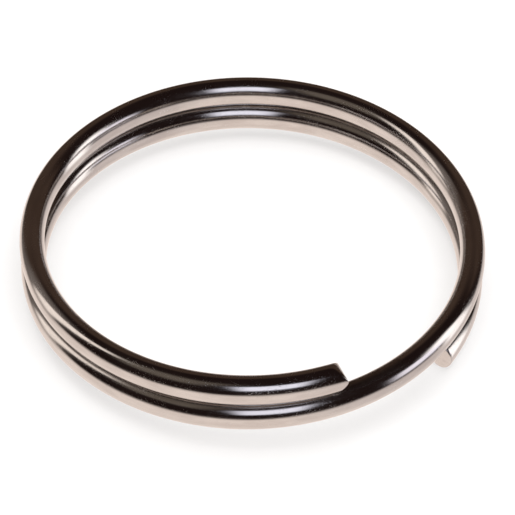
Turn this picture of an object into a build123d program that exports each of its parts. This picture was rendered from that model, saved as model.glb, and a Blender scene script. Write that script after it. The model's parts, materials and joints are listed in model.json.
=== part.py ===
from build123d import *
import os
from math import cos, degrees, pi, radians, sin

# A split key ring: one spring wire, coiled almost twice round and closed on itself.
# The ring lies flat, its axis on Z and its lowest point at Z = 0. The single strand between
# the two free ends, the crossover, is centred on -Y.
# "along" is the place on the wire in degrees of coil, counted from the middle of the
# crossover: negative towards the upper free end, positive towards the lower one.

# Driving dimensions, in millimetres and degrees
outer_diameter = 30.0     # over the coil
wire_width = 1.6          # wire section along the ring's radius
wire_height = 2.08        # wire section along the ring's axis
end_gap = 34.0            # bare crossover between the two free ends
turn_clearance = 0.06     # between the two closed turns
pinch_setback = 0.5       # how far the ridge of the upper end stands out past its rims
pinch_round = 0.12        # rounding of that ridge
shear_round = 0.12        # rounding of the lower end's rim
leaf_sweep = 180.0        # part of the wire that lifts when a free end is prised
leaf_lengths = 6          # lengths that a lifting part bends as
flex_slit = 0.06          # slit between two of those lengths, so that they can tilt
samples_per_turn = 60     # points that a turn's centreline is drawn through
overrun = 1.0             # sweep past each joint face, which is then cut square

# What follows from them
coil_radius = (outer_diameter - wire_width) / 2
pitch = wire_height + turn_clearance
free_end = 360 - end_gap / 2
leaf_root = free_end - leaf_sweep
slit_angle = degrees(flex_slit / coil_radius)
lowest_rim = free_end - degrees(shear_round / coil_radius)


def drop(along):
    """How far the wire has come down from the middle of the crossover.

    A whole turn comes down by one pitch, twice as steep at the crossover as the mean
    and level half a turn away, so the two turns stay the same distance apart all round.
    """
    return pitch * (along / 360 + sin(radians(along)) / (2 * pi))


middle_height = drop(lowest_rim) + wire_height / 2


def outward(along):
    """Unit vector from the ring's axis to the wire."""
    azimuth = radians(-90 - along)
    return Vector(cos(azimuth), sin(azimuth), 0)


def centre(along):
    """Point on the wire's centreline."""
    return outward(along) * coil_radius + Vector(0, 0, middle_height - drop(along))


def heading(along):
    """Direction of the wire towards the lower free end."""
    steepness = pitch * (1 + cos(radians(along))) / (2 * pi * coil_radius)
    level = outward(along).rotate(Axis.Z, -90)
    return (level - Vector(0, 0, steepness)).normalized()


def wire_length(name, start, end, pinched=None, sheared=None):
    """Make and write one length of the wire.

    pinched is the place of a free end that is cut to a blunt chisel, as side cutters leave
    it, with its ridge lying across the wire. sheared is the place of a free end that is cut
    square, with a rounded rim.
    """
    first, last = start - overrun, end + overrun
    count = max(4, round((last - first) / 360 * samples_per_turn))
    stations = [first + (last - first) * step / count for step in range(count + 1)]
    with BuildPart() as length:
        with BuildLine():
            line = Spline([centre(s) for s in stations], tangents=[heading(first), heading(last)])
        upright = line.moved(Location((0, 0, wire_height)))
        with BuildSketch(Plane(centre(first), x_dir=outward(first), z_dir=heading(first))):
            Ellipse(wire_width / 2, wire_height / 2)
        sweep(path=line, binormal=upright)
        split(bisect_by=Plane(centre(start), z_dir=heading(start)), keep=Keep.TOP)
        split(bisect_by=Plane(centre(end), z_dir=heading(end)), keep=Keep.BOTTOM)
        if pinched is not None:
            face = Plane(centre(pinched), x_dir=-heading(pinched), z_dir=outward(pinched))
            with BuildSketch(face) as cutter:
                with BuildLine():
                    Polyline(
                        (0, 0),
                        (-pinch_setback, wire_height / 2),
                        (-pinch_setback, wire_height),
                        (wire_height, wire_height),
                        (wire_height, -wire_height),
                        (-pinch_setback, -wire_height),
                        (-pinch_setback, -wire_height / 2),
                        close=True,
                    )
                make_face()
                fillet(cutter.vertices().sort_by_distance((0, 0))[0], radius=pinch_round)
            extrude(amount=wire_width, both=True, mode=Mode.SUBTRACT)
        if sheared is not None:
            cut_face = length.faces().sort_by_distance(centre(sheared))[0]
            fillet(cut_face.edges(), radius=shear_round)
    length.part.label = name
    export_step(length.part, f"parts/{name}.step")


os.makedirs("parts", exist_ok=True)

# The part of the coil that stays put
wire_length("upper_turn", -leaf_root, -end_gap / 2)
wire_length("crossover", -end_gap / 2, end_gap / 2)
wire_length("lower_turn", end_gap / 2, leaf_root)

# The two parts that lift, each from its free end (number 1) back to the coil
length_angle = leaf_sweep / leaf_lengths
for side, level in ((-1, "upper"), (1, "lower")):
    for number in range(1, leaf_lengths + 1):
        is_tip = number == 1
        far = free_end if is_tip else free_end - (number - 1) * length_angle - slit_angle / 2
        near = free_end - number * length_angle + slit_angle / 2
        name = f"{level}_end" if is_tip else f"{level}_arc_{number}"
        start, end = sorted((side * near, side * far))
        pinched = -free_end if name == "upper_end" else None
        sheared = free_end if name == "lower_end" else None
        wire_length(name, start, end, pinched, sheared)
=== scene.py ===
import json
import math
import bpy
import bmesh
import numpy as np
from mathutils import Matrix, Vector


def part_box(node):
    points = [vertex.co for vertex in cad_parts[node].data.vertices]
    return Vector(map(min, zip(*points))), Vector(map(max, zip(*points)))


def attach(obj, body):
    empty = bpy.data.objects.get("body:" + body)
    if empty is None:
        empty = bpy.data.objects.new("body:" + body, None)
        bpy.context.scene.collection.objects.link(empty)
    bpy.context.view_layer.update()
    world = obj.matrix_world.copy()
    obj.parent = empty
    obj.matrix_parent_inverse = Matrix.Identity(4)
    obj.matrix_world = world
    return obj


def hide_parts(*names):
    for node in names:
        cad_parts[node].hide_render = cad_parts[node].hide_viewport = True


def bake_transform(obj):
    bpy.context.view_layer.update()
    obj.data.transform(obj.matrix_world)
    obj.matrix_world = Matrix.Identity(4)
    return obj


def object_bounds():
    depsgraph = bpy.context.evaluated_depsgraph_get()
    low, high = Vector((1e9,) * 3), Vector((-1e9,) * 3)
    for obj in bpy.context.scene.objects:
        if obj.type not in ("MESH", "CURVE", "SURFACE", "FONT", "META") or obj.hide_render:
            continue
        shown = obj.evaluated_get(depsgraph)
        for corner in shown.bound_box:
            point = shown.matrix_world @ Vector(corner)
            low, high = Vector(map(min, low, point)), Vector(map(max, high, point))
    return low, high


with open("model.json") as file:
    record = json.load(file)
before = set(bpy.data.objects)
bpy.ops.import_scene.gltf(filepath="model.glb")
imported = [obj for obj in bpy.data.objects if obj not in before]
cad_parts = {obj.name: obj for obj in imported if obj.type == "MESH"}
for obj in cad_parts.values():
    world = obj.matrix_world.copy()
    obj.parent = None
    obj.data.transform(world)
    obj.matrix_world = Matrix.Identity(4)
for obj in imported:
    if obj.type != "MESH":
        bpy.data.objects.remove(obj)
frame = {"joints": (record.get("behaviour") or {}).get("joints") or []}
cad_low, cad_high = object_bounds()

MM = 0.001

# ---------------------------------------------------------------------------
# The coil, read from the frame
# "along" is the place on the wire in degrees of coil from the middle of the crossover,
# negative towards the upper free end and positive towards the lower one.
# ---------------------------------------------------------------------------
SIDES = {"upper": -1, "lower": 1}
LEADING = {"upper": "upper_end_lift", "lower": "lower_end_push"}
LENGTHS = 6

hinge = {j["name"]: np.array(j["pos_m"], float) for j in frame["joints"]}


def place_of(point):
    """Degrees of coil from the crossover, 0 to 360, of a point on the lower half of the wire."""
    return (-90 - math.degrees(math.atan2(point[1], point[0]))) % 360


root_point = {level: hinge[LEADING[level]] for level in SIDES}
LEAF_ROOT = place_of(root_point["lower"])
STEP = (place_of(hinge["lower_bend_1"]) - LEAF_ROOT) / (LENGTHS - 1)
FREE_END = LEAF_ROOT + LENGTHS * STEP
COIL_RADIUS = float(np.hypot(*root_point["lower"][:2]))
MIDDLE = float(root_point["upper"][2] + root_point["lower"][2]) / 2
TURN_SHARE = LEAF_ROOT / 360 + math.sin(math.radians(LEAF_ROOT)) / (2 * math.pi)
PITCH = float(root_point["upper"][2] - root_point["lower"][2]) / (2 * TURN_SHARE)
HALF_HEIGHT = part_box("upper_turn")[1].z - float(root_point["upper"][2])
HALF_WIDTH = cad_high.x - COIL_RADIUS
DEGREE = COIL_RADIUS * math.radians(1)          # length of wire in one degree of coil


def centre(along):
    """Points on the wire's centreline."""
    a = np.radians(along)
    drop = PITCH * (np.asarray(along) / 360 + np.sin(a) / (2 * math.pi))
    return np.stack([-COIL_RADIUS * np.sin(a), -COIL_RADIUS * np.cos(a), MIDDLE - drop], -1)


def axes(along):
    """Unit vectors at places on the wire: outwards, upwards across the wire, and along it."""
    a = np.radians(along)
    out = np.stack([-np.sin(a), -np.cos(a), 0 * a], -1)
    fall = PITCH * (1 + np.cos(a)) / (2 * math.pi * COIL_RADIUS)
    ahead = np.stack([-np.cos(a), np.sin(a), -fall], -1)
    ahead /= np.linalg.norm(ahead, axis=-1, keepdims=True)
    return out, np.cross(ahead, out), ahead


# ---------------------------------------------------------------------------
# Wire pieces
# ---------------------------------------------------------------------------
SEGMENTS = 64
END_SEGMENTS = 128


def section(count):
    """Places round the wire section, from the outer side over the top."""
    return np.arange(count) * 2 * math.pi / count


def surface(along, phi, grow=0.0):
    """Points and normals on the wire's surface; along and phi are arrays of one shape."""
    out, up, _ = axes(along)
    c, s = np.cos(phi)[..., None], np.sin(phi)[..., None]
    point = centre(along) + (HALF_WIDTH + grow) * c * out + (HALF_HEIGHT + grow) * s * up
    normal = c / HALF_WIDTH * out + s / HALF_HEIGHT * up
    return point, normal / np.linalg.norm(normal, axis=-1, keepdims=True)


def build(name, rings, faces, normals=None, fields=()):
    """A mesh object from points and faces, with its own normals and point attributes."""
    mesh = bpy.data.meshes.new(name)
    mesh.from_pydata(rings.tolist(), [], faces)
    mesh.update()
    for label, kind, values in fields:
        attribute = mesh.attributes.new(label, kind, "POINT")
        key = "vector" if kind == "FLOAT_VECTOR" else "value"
        attribute.data.foreach_set(key, np.asarray(values, np.float32).ravel())
    mesh.shade_smooth()
    if normals is not None:
        mesh.normals_split_custom_set_from_vertices(normals.tolist())
    obj = bpy.data.objects.new(name, mesh)
    bpy.context.scene.collection.objects.link(obj)
    return obj


def tube_faces(rows, count):
    """Quads between neighbouring rings, and an end face on the first and last ring."""
    faces = []
    for r in range(rows - 1):
        for k in range(count):
            n = (k + 1) % count
            faces.append((r * count + k, r * count + n, (r + 1) * count + n, (r + 1) * count + k))
    last = (rows - 1) * count
    faces.append(tuple(reversed(range(count))))
    faces.append(tuple(last + k for k in range(count)))
    return faces


def wire_coordinates(along, phi):
    """Millimetres along the wire and across its section, for grain that follows the wire."""
    length = np.asarray(along) * DEGREE / MM
    across = HALF_WIDTH / MM * np.cos(phi)
    upward = HALF_HEIGHT / MM * np.sin(phi)
    return np.stack([length, across, upward], -1)


def contact_of(along, phi):
    """1 where the wire faces the other turn closely, 0 elsewhere."""
    facing = np.where(along < 0, -np.sin(phi), np.sin(phi))
    return np.clip((facing - 0.80) / 0.18, 0, 1)


def plain_length(name, start, end):
    """A length of wire with both ends inside the coil."""
    rows = int(round(abs(end - start))) + 1
    along = np.repeat(np.linspace(start, end, rows)[:, None], SEGMENTS, 1)
    phi = np.repeat(section(SEGMENTS)[None, :], rows, 0)
    point, normal = surface(along, phi)
    fields = [
        ("wire", "FLOAT_VECTOR", wire_coordinates(along, phi)),
        ("contact", "FLOAT", contact_of(along, phi)),
        ("cut", "FLOAT", np.zeros_like(phi)),
    ]
    faces = tube_faces(rows, SEGMENTS)
    return build(name, point.reshape(-1, 3), faces, normal.reshape(-1, 3), fields)


def smooth_noise(values, seed, scale):
    """Smooth noise in -1 to 1 along one axis, from seeded random heights every scale."""
    heights = np.random.default_rng(seed).uniform(-1, 1, 400)
    t = np.asarray(values) / scale + 200
    i = np.floor(t).astype(int)
    f = t - i
    f = f * f * (3 - 2 * f)
    return heights[i % 400] * (1 - f) + heights[(i + 1) % 400] * f


def pinched_rows(count):
    """Rows down the upper end: over the rounded rim and down the cut faces to the ridge.

    Each row is how far it lies behind the ridge, its two section coordinates and its share
    of cut surface.
    """
    phi = section(count)
    u0, v0 = HALF_WIDTH * np.cos(phi), HALF_HEIGHT * np.sin(phi)
    top = np.clip(np.sin(phi), 0, 1)
    ridge = 0.20 * MM                            # height of the ridge above the wire's middle
    upper_setback, lower_setback = 0.38 * MM, 0.80 * MM
    blunt = 0.05 * MM                            # rounding of the ridge

    def lean(v):
        upper_lean = upper_setback / (HALF_HEIGHT - ridge)
        lower_lean = lower_setback / (HALF_HEIGHT + ridge)
        return np.where(v > ridge, upper_lean, lower_lean)

    def behind(v):
        return np.sqrt((lean(v) * (v - ridge)) ** 2 + blunt**2) - blunt

    tangent = (0.04 + 0.12 * np.sin(phi) ** 2 + 0.36 * top**2) * MM
    share = np.clip(tangent / (np.abs(v0) * np.hypot(1, lean(v0)) + 1e-9), 0, 0.7)
    corner, inner_v = behind(v0), v0 * (1 - share)
    stop = corner + tangent
    rows = []
    for k in range(0, 8):
        t = k / 7
        s = (1 - t) ** 2 * stop + 2 * t * (1 - t) * corner + t * t * behind(inner_v)
        rows.append((s, u0, (1 - t * t) * v0 + t * t * inner_v, np.full(count, t * t)))
    for k in range(1, 13):
        t = 1 - k / 12
        v = inner_v * t
        depth = np.abs(v) / HALF_HEIGHT
        shear = smooth_noise(u0 / MM, 11, 0.07) * 0.010 * np.clip(depth * 4, 0, 1)
        torn = smooth_noise(u0 / MM, 12, 0.16) * smooth_noise((v + 3 * u0) / MM, 13, 0.12)
        torn = torn * 0.035 * np.clip(1 - depth * 3, 0, 1)
        edge = np.clip(1 - (u0 / HALF_WIDTH) ** 6, 0, 1)
        rows.append((behind(v) + np.abs(shear + torn) * edge * MM, u0, v, np.ones(count)))
    return rows


def sheared_rows(count):
    """Rows across the lower end: over the rolled rim and in to the middle of a flat face."""
    phi = section(count)
    u0, v0 = HALF_WIDTH * np.cos(phi), HALF_HEIGHT * np.sin(phi)
    tangent = 0.16 * MM
    rows = []
    for k in range(0, 8):
        t = k / 7
        inward = t * t * tangent / HALF_WIDTH
        rows.append((np.full(count, (1 - t) ** 2 * tangent), u0 * (1 - inward), v0 * (1 - inward),
                     np.full(count, t * t)))
    for k in range(1, 13):
        q = (1 - tangent / HALF_WIDTH) * (1 - k / 12)
        u, v = u0 * q, v0 * q
        lines = smooth_noise(u / MM + 0.3 * v / MM, 23, 0.06) * 0.008
        torn = smooth_noise(u / MM, 24, 0.2) * smooth_noise(v / MM, 25, 0.17) * 0.05
        low = np.clip(0.5 - v / HALF_HEIGHT, 0, 1)
        rows.append((np.abs(lines + torn * low) * MM * min(1, k / 3), u, v, np.ones(count)))
    return rows


def end_length(name, side, inner):
    """The wire's last length, from a place inside the coil to its cut end."""
    count = END_SEGMENTS
    phi = section(count)
    tip = pinched_rows(count) if side < 0 else sheared_rows(count)
    reach = 1.6 * MM                             # length of wire that the cutters have bent
    far = (FREE_END - inner) * DEGREE
    body_rows = int((far - reach) / DEGREE)
    rows = []
    plain = (HALF_WIDTH * np.cos(phi), HALF_HEIGHT * np.sin(phi), np.zeros(count))
    for k in range(body_rows + 1):
        rows.append((np.full(count, far + (reach - far) * k / body_rows), *plain))
    for k in range(1, 8):
        rows.append((reach + (tip[0][0] - reach) * k / 8, *plain))
    rows += tip
    s = np.array([r[0] for r in rows])
    u = np.array([r[1] for r in rows])
    v = np.array([r[2] for r in rows])
    cut = np.array([r[3] for r in rows])
    # cutting draws the section in a little and spreads its sides
    near = np.clip(1 - s / reach, 0, 1) ** 2
    v = v * (1 - (0.07 if side < 0 else 0.015) * near)
    u = u * (1 + (0.02 if side < 0 else 0.0) * near)
    along = side * (FREE_END - s / DEGREE)
    out, up, _ = axes(along)
    point = centre(along) + u[..., None] * out + v[..., None] * up

    faces = []
    for r in range(len(rows) - 1):
        for k in range(count):
            n = (k + 1) % count
            quad = (r * count + k, (r + 1) * count + k, (r + 1) * count + n, r * count + n)
            faces.append(quad[::-1] if side > 0 else quad)
    start_cap = tuple(range(count))
    faces.append(start_cap[::-1] if side > 0 else start_cap)
    angle = np.repeat(phi[None, :], len(rows), 0)
    fields = [
        ("wire", "FLOAT_VECTOR", np.stack([along * DEGREE / MM, u / MM, v / MM], -1)),
        ("contact", "FLOAT", contact_of(along, angle) * (1 - cut)),
        ("cut", "FLOAT", cut),
    ]
    obj = build(name, point.reshape(-1, 3), faces, None, fields)
    mesh = obj.data
    work = bmesh.new()
    work.from_mesh(mesh)
    bmesh.ops.remove_doubles(work, verts=work.verts, dist=1e-7)
    bmesh.ops.dissolve_degenerate(work, dist=1e-7, edges=work.edges)
    work.normal_update()
    work.to_mesh(mesh)
    work.free()
    mesh.shade_smooth()
    # the wall keeps the exact normals of the coil, so that it joins its neighbour unseen
    mine = np.array([p.normal for p in mesh.vertices], float)
    values = np.zeros(len(mine) * 3, np.float32)
    mesh.attributes["wire"].data.foreach_get("vector", values)
    wire = values.reshape(-1, 3).astype(float) * MM
    place = wire[:, 0] / DEGREE
    _, exact = surface(place, np.arctan2(wire[:, 2] / HALF_HEIGHT, wire[:, 1] / HALF_WIDTH))
    bent = np.clip(((np.abs(place) - FREE_END) * DEGREE + reach) / (0.5 * MM), 0, 1)[:, None]
    mixed = exact * (1 - bent) + mine * bent
    mixed /= np.linalg.norm(mixed, axis=1, keepdims=True)
    mesh.normals_split_custom_set_from_vertices(mixed.tolist())
    return obj


def middle_of(n):
    """The place half way along leaf length n, counted from the free end."""
    return FREE_END - (n - 0.5) * STEP


def body_name(level, n):
    return f"{level}_end" if n == 1 else f"{level}_arc_{n}"


pieces = []
coil_end = LEAF_ROOT - STEP / 2
coil = plain_length("coil_wire", -coil_end, coil_end)
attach(coil, "coil")
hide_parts("upper_turn", "crossover", "lower_turn")
pieces.append(coil)
for level, side in SIDES.items():
    for n in range(1, LENGTHS + 1):
        near = middle_of(n + 1)
        label = f"{level}_wire_end" if n == 1 else f"{level}_wire_{n}"
        if n == 1:
            piece = end_length(label, side, near)
        else:
            start, end = sorted((side * near, side * middle_of(n)))
            piece = plain_length(label, start, end)
        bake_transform(piece)
        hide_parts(body_name(level, n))
        pieces.append(piece)

# ---------------------------------------------------------------------------
# Steel
# ---------------------------------------------------------------------------


class Nodes:
    """Short calls for building a node tree."""

    def __init__(self, tree):
        self.tree = tree
        tree.nodes.clear()

    def add(self, kind, inputs=None, **settings):
        node = self.tree.nodes.new(kind)
        for key, value in settings.items():
            setattr(node, key, value)
        for key, value in (inputs or {}).items():
            self.put(node.inputs[key], value)
        return node

    def put(self, socket, value):
        if isinstance(value, bpy.types.NodeSocket):
            self.tree.links.new(value, socket)
        else:
            socket.default_value = value

    def math(self, operation, *values, clamp=False):
        node = self.add("ShaderNodeMath", operation=operation, use_clamp=clamp)
        for socket, value in zip(node.inputs, values):
            self.put(socket, value)
        return node.outputs[0]

    def ramp(self, value, low, high, to_low=0.0, to_high=1.0):
        """value from low..high to to_low..to_high, smoothly and clamped."""
        node = self.add("ShaderNodeMapRange", interpolation_type="SMOOTHSTEP")
        for key, v in zip(("Value", "From Min", "From Max", "To Min", "To Max"),
                          (value, low, high, to_low, to_high)):
            self.put(node.inputs[key], v)
        return node.outputs[0]

    def noise(self, vector, scale, detail=2.0, roughness=0.5):
        node = self.add("ShaderNodeTexNoise", {"Vector": vector, "Scale": scale,
                                               "Detail": detail, "Roughness": roughness})
        return node.outputs["Fac"]

    def dot(self, vector, way):
        node = self.add("ShaderNodeVectorMath", {0: vector, 1: way}, operation="DOT_PRODUCT")
        return node.outputs["Value"]

    def stretch(self, vector, scale, shift=(0, 0, 0)):
        node = self.add("ShaderNodeMapping", {"Vector": vector, "Scale": scale, "Location": shift})
        return node.outputs[0]

    def mix(self, factor, a, b):
        node = self.add("ShaderNodeMix", data_type="RGBA")
        self.put(node.inputs[0], factor)
        self.put(node.inputs[6], a)
        self.put(node.inputs[7], b)
        return node.outputs[2]


def steel_material():
    mat = bpy.data.materials.new("polished_steel")
    mat.use_nodes = True
    n = Nodes(mat.node_tree)
    wire = n.add("ShaderNodeAttribute", attribute_name="wire").outputs["Vector"]
    cut = n.add("ShaderNodeAttribute", attribute_name="cut").outputs["Fac"]
    contact = n.add("ShaderNodeAttribute", attribute_name="contact").outputs["Fac"]

    # lines that the drawing die leaves along the wire, and broad unevenness of the coating
    drawn = n.noise(n.stretch(wire, (0.05, 9, 9)), 1.0, 3.0, 0.6)
    fine = n.noise(n.stretch(wire, (0.25, 34, 34), (5, 2, 1)), 1.0, 2.0, 0.5)
    broad = n.noise(n.stretch(wire, (0.35, 1.1, 1.1), (9, 4, 7)), 1.0, 3.0, 0.55)
    # short handling scratches, at two slants to the wire
    scratch = []
    for slant, seed in ((0.5, 3.0), (-0.8, 8.0)):
        turned = n.add("ShaderNodeMapping", {"Vector": wire, "Rotation": (0, 0.3 * slant, slant),
                                             "Location": (seed, seed, 0)}).outputs[0]
        lines = n.noise(n.stretch(turned, (0.9, 22, 22)), 1.0, 1.0, 0.4)
        where = n.noise(n.stretch(wire, (0.5, 1.2, 1.2), (seed, 1, 2)), 1.0, 2.0, 0.5)
        thin = n.ramp(lines, 0.66, 0.72)
        scratch.append(n.math("MULTIPLY", thin, n.ramp(where, 0.5, 0.62)))
    scratches = n.math("MAXIMUM", *scratch)
    # small pits
    cells = n.add("ShaderNodeTexVoronoi", {"Vector": wire, "Scale": 3.2, "Randomness": 1.0},
                  feature="F1").outputs["Distance"]
    pit = n.math("MULTIPLY", n.ramp(cells, 0.03, 0.06, 1.0, 0.0),
                 n.ramp(n.noise(n.stretch(wire, (0.8, 0.8, 0.8), (2, 6, 4)), 1.0), 0.52, 0.6))

    # darkening in the seam between the turns: partly grime, partly painted shade where the turns shade each
    # other
    patches = n.ramp(n.noise(n.stretch(wire, (1.2, 4, 4)), 1.0, 4.0), 0.3, 0.7, 0.55, 1.0)
    grime_and_painted_seam_shade = n.math("MULTIPLY", contact, patches)
    tint = n.mix(n.ramp(broad, 0.3, 0.7), (0.60, 0.575, 0.56, 1), (0.70, 0.68, 0.665, 1))
    # painted shade with some grime: the colour goes brown-black where the turns face each other closely
    tint = n.mix(n.math("MULTIPLY", grime_and_painted_seam_shade, 0.75), tint, (0.20, 0.15, 0.12, 1))
    tint = n.mix(n.math("MULTIPLY", pit, 0.6), tint, (0.16, 0.12, 0.10, 1))
    tint = n.mix(n.math("MULTIPLY", cut, 0.8), tint, (0.74, 0.71, 0.69, 1))

    rough = n.ramp(broad, 0.25, 0.75, 0.085, 0.15)
    rough = n.math("ADD", rough, n.ramp(drawn, 0.35, 0.7, 0.0, 0.05))
    rough = n.math("ADD", rough, n.math("MULTIPLY", scratches, 0.18))
    rough = n.math("ADD", rough, n.math("MULTIPLY", grime_and_painted_seam_shade, 0.25))
    rough = n.math("ADD", rough, n.math("MULTIPLY", cut, 0.22), clamp=True)

    height = n.math("ADD", drawn, n.math("MULTIPLY", fine, 0.25))
    height = n.math("SUBTRACT", height, n.math("MULTIPLY", scratches, 0.6))
    height = n.math("SUBTRACT", height, n.math("MULTIPLY", pit, 1.5))
    bump = n.add("ShaderNodeBump", {"Strength": 1.0, "Distance": 0.0000022, "Height": height})
    torn = n.noise(n.stretch(wire, (26, 26, 10), (1, 1, 1)), 1.0, 4.0, 0.6)
    cut_height = n.math("MULTIPLY", torn, cut)
    bump2 = n.add("ShaderNodeBump", {"Strength": 1.0, "Distance": 0.000012, "Height": cut_height,
                                     "Normal": bump.outputs[0]})
    shader = n.add("ShaderNodeBsdfPrincipled", {"Base Color": tint, "Metallic": 1.0,
                                                "Roughness": rough, "Normal": bump2.outputs[0]})
    n.add("ShaderNodeOutputMaterial", {"Surface": shader.outputs[0]})
    return mat


steel = steel_material()
for piece in pieces:
    piece.data.materials.clear()
    piece.data.materials.append(steel)

# ---------------------------------------------------------------------------
# Camera
# ---------------------------------------------------------------------------
AZIMUTH, ELEVATION, ROLL = math.radians(-40.41), math.radians(44.14), math.radians(1.27)
DISTANCE = 153.06 * MM
back = Vector((math.sin(AZIMUTH) * math.cos(ELEVATION), -math.cos(AZIMUTH) * math.cos(ELEVATION),
               math.sin(ELEVATION)))
level_right = Vector((math.cos(AZIMUTH), math.sin(AZIMUTH), 0))
level_back = Vector((back.x, back.y, 0)).normalized()
level_up = back.cross(level_right)
right = level_right * math.cos(ROLL) + level_up * math.sin(ROLL)
up = level_up * math.cos(ROLL) - level_right * math.sin(ROLL)
ring_centre = Vector((0, 0, MIDDLE))
camera = bpy.data.objects.new("camera", bpy.data.cameras.new("camera"))
bpy.context.scene.collection.objects.link(camera)
spot = ring_centre + back * DISTANCE
camera.matrix_world = Matrix((
    (right.x, up.x, back.x, spot.x),
    (right.y, up.y, back.y, spot.y),
    (right.z, up.z, back.z, spot.z),
    (0, 0, 0, 1)))
camera.data.sensor_width = 36
camera.data.lens = 165.11
camera.data.shift_x = 0.0094
camera.data.shift_y = -0.0228
camera.data.clip_start = 0.01
camera.data.clip_end = 10
camera.data.dof.use_dof = False
bpy.context.scene.camera = camera

# ---------------------------------------------------------------------------
# Floor, world and lights
# ---------------------------------------------------------------------------
floor_mesh = bpy.data.meshes.new("floor")
floor_mesh.from_pydata([(-1.5, -1.5, 0), (1.5, -1.5, 0), (1.5, 1.5, 0), (-1.5, 1.5, 0)], [], [(0, 1, 2, 3)])
floor = bpy.data.objects.new("floor", floor_mesh)
bpy.context.scene.collection.objects.link(floor)
floor.location.z = -0.01 * MM


def floor_material():
    """A pale floor that glows softly by its own emission, which is painted light; the glow is fainter near
    the ring, a painted shadow where the ring's shadow falls.
    """
    mat = bpy.data.materials.new("pale_floor")
    mat.use_nodes = True
    n = Nodes(mat.node_tree)
    place = n.add("ShaderNodeNewGeometry").outputs["Position"]
    grain = n.noise(n.stretch(place, (900, 900, 900)), 1.0, 3.0)
    pale = n.mix(grain, (0.43, 0.425, 0.42, 1), (0.45, 0.445, 0.44, 1))
    distance = n.add("ShaderNodeVectorMath", {0: place}, operation="LENGTH").outputs["Value"]
    # painted light and painted shadow: emission strength 0.55 near the ring, rising to 0.95 far out
    glow = n.ramp(distance, 0.06, 0.45, 0.55, 0.95)
    shader = n.add("ShaderNodeBsdfPrincipled", {"Base Color": pale, "Roughness": 0.9,
                                                "Specular IOR Level": 0.0, "Emission Strength": glow,
                                                "Emission Color": (1.0, 0.995, 0.99, 1)})
    n.add("ShaderNodeOutputMaterial", {"Surface": shader.outputs[0]})
    return mat


floor_mesh.materials.append(floor_material())
floor.visible_glossy = False                    # the steel mirrors the studio's own floor glow

# Soft panels of the studio, as the steel mirrors them. Each is (degrees to the right of the
# camera, degrees up, half width, half height, soft share of its edge, slant, colour, strength).
PANELS = [
    (7, 28, 14, 15, 0.7, 0, (0.88, 0.88, 1.0), 1.4),
    (76, 2, 14, 12, 0.9, 0, (0.95, 0.91, 1.0), 1.4),
    (96, -4, 8, 28, 0.8, 20, (1.0, 0.95, 0.93), 1.7),
    (-110, 8, 24, 32, 1.0, -20, (1.0, 0.84, 0.76), 0.19),
    (-92, 14, 8, 34, 0.8, -24, (1.0, 0.89, 0.81), 1.3),
    (-45, 44, 17, 18, 1.0, 0, (0.66, 0.54, 0.44), 0.22),
    (180, 20, 58, 32, 0.8, 0, (0.064, 0.040, 0.029), 1.0),
]


def studio_world():
    world = bpy.data.worlds.new("studio")
    bpy.context.scene.world = world
    world.use_nodes = True
    n = Nodes(world.node_tree)
    ray = n.add("ShaderNodeTexCoord").outputs["Generated"]
    height = n.add("ShaderNodeSeparateXYZ", {"Vector": ray}).outputs["Z"]
    rightward = n.dot(ray, level_right)
    floor_left, floor_right = (1.02, 0.88, 0.80, 1), (0.80, 0.70, 0.66, 1)
    dark_room = (0.016, 0.009, 0.008, 1)
    glow_fades, glow_ends = -0.45, -0.20         # sines of the angle above the horizon
    floor_glow = n.mix(n.ramp(rightward, 0.1, 0.7), floor_left, floor_right)
    total = n.mix(n.ramp(height, glow_fades, glow_ends), floor_glow, dark_room)
    for turn, rise, half_w, half_h, soft, slant, colour, strength in PANELS:
        t, r, q = math.radians(turn), math.radians(rise), math.radians(slant)
        level = level_back * math.cos(t) + level_right * math.sin(t)
        facing = level * math.cos(r) + Vector((0, 0, 1)) * math.sin(r)
        side_way = (level_right * math.cos(t) - level_back * math.sin(t))
        up_way = facing.cross(side_way) * -1
        if up_way.z < 0:
            up_way = -up_way
        across = side_way * math.cos(q) + up_way * math.sin(q)
        upward = up_way * math.cos(q) - side_way * math.sin(q)
        depth = n.dot(ray, facing)
        mask = n.ramp(depth, 0.0, 0.05)
        for way, half in ((across, half_w), (upward, half_h)):
            slope = n.math("DIVIDE", n.dot(ray, way), n.math("MAXIMUM", depth, 0.05))
            size = math.tan(math.radians(half))
            edge = n.ramp(n.math("ABSOLUTE", slope), size * (1 - soft / 2), size * (1 + soft / 2), 1.0, 0.0)
            mask = n.math("MULTIPLY", mask, edge)
        glow = tuple(c * strength for c in colour) + (1,)
        total = n.mix(mask, total, glow)
    seen = n.add("ShaderNodeLightPath").outputs["Is Camera Ray"]
    total = n.mix(seen, total, (0.95, 0.95, 0.95, 1))
    shader = n.add("ShaderNodeBackground", {"Color": total, "Strength": 1.0})
    n.add("ShaderNodeOutputWorld", {"Surface": shader.outputs[0]})


studio_world()


def soft_light(name, turn, rise, distance, size, power, colour):
    """A square soft light aimed at the ring, which lights the floor and isn't mirrored."""
    data = bpy.data.lights.new(name, "AREA")
    data.shape = "SQUARE"
    data.size = size
    data.energy = power
    data.color = colour
    obj = bpy.data.objects.new(name, data)
    bpy.context.scene.collection.objects.link(obj)
    t, r = math.radians(turn), math.radians(rise)
    way = (level_back * math.cos(t) + level_right * math.sin(t)) * math.cos(r)
    way += Vector((0, 0, 1)) * math.sin(r)
    obj.location = ring_centre + way * distance
    obj.rotation_mode = "QUATERNION"
    obj.rotation_quaternion = way.to_track_quat("Z", "Y")
    obj.visible_glossy = False
    obj.visible_camera = False
    return obj


soft_light("overhead_light", 0, 88, 0.6, 0.7, 5.2, (1.0, 1.0, 1.0))
soft_light("front_light", 25, 40, 0.6, 0.4, 1.2, (1.0, 1.0, 1.0))

bpy.context.scene.view_settings.view_transform = "Standard"
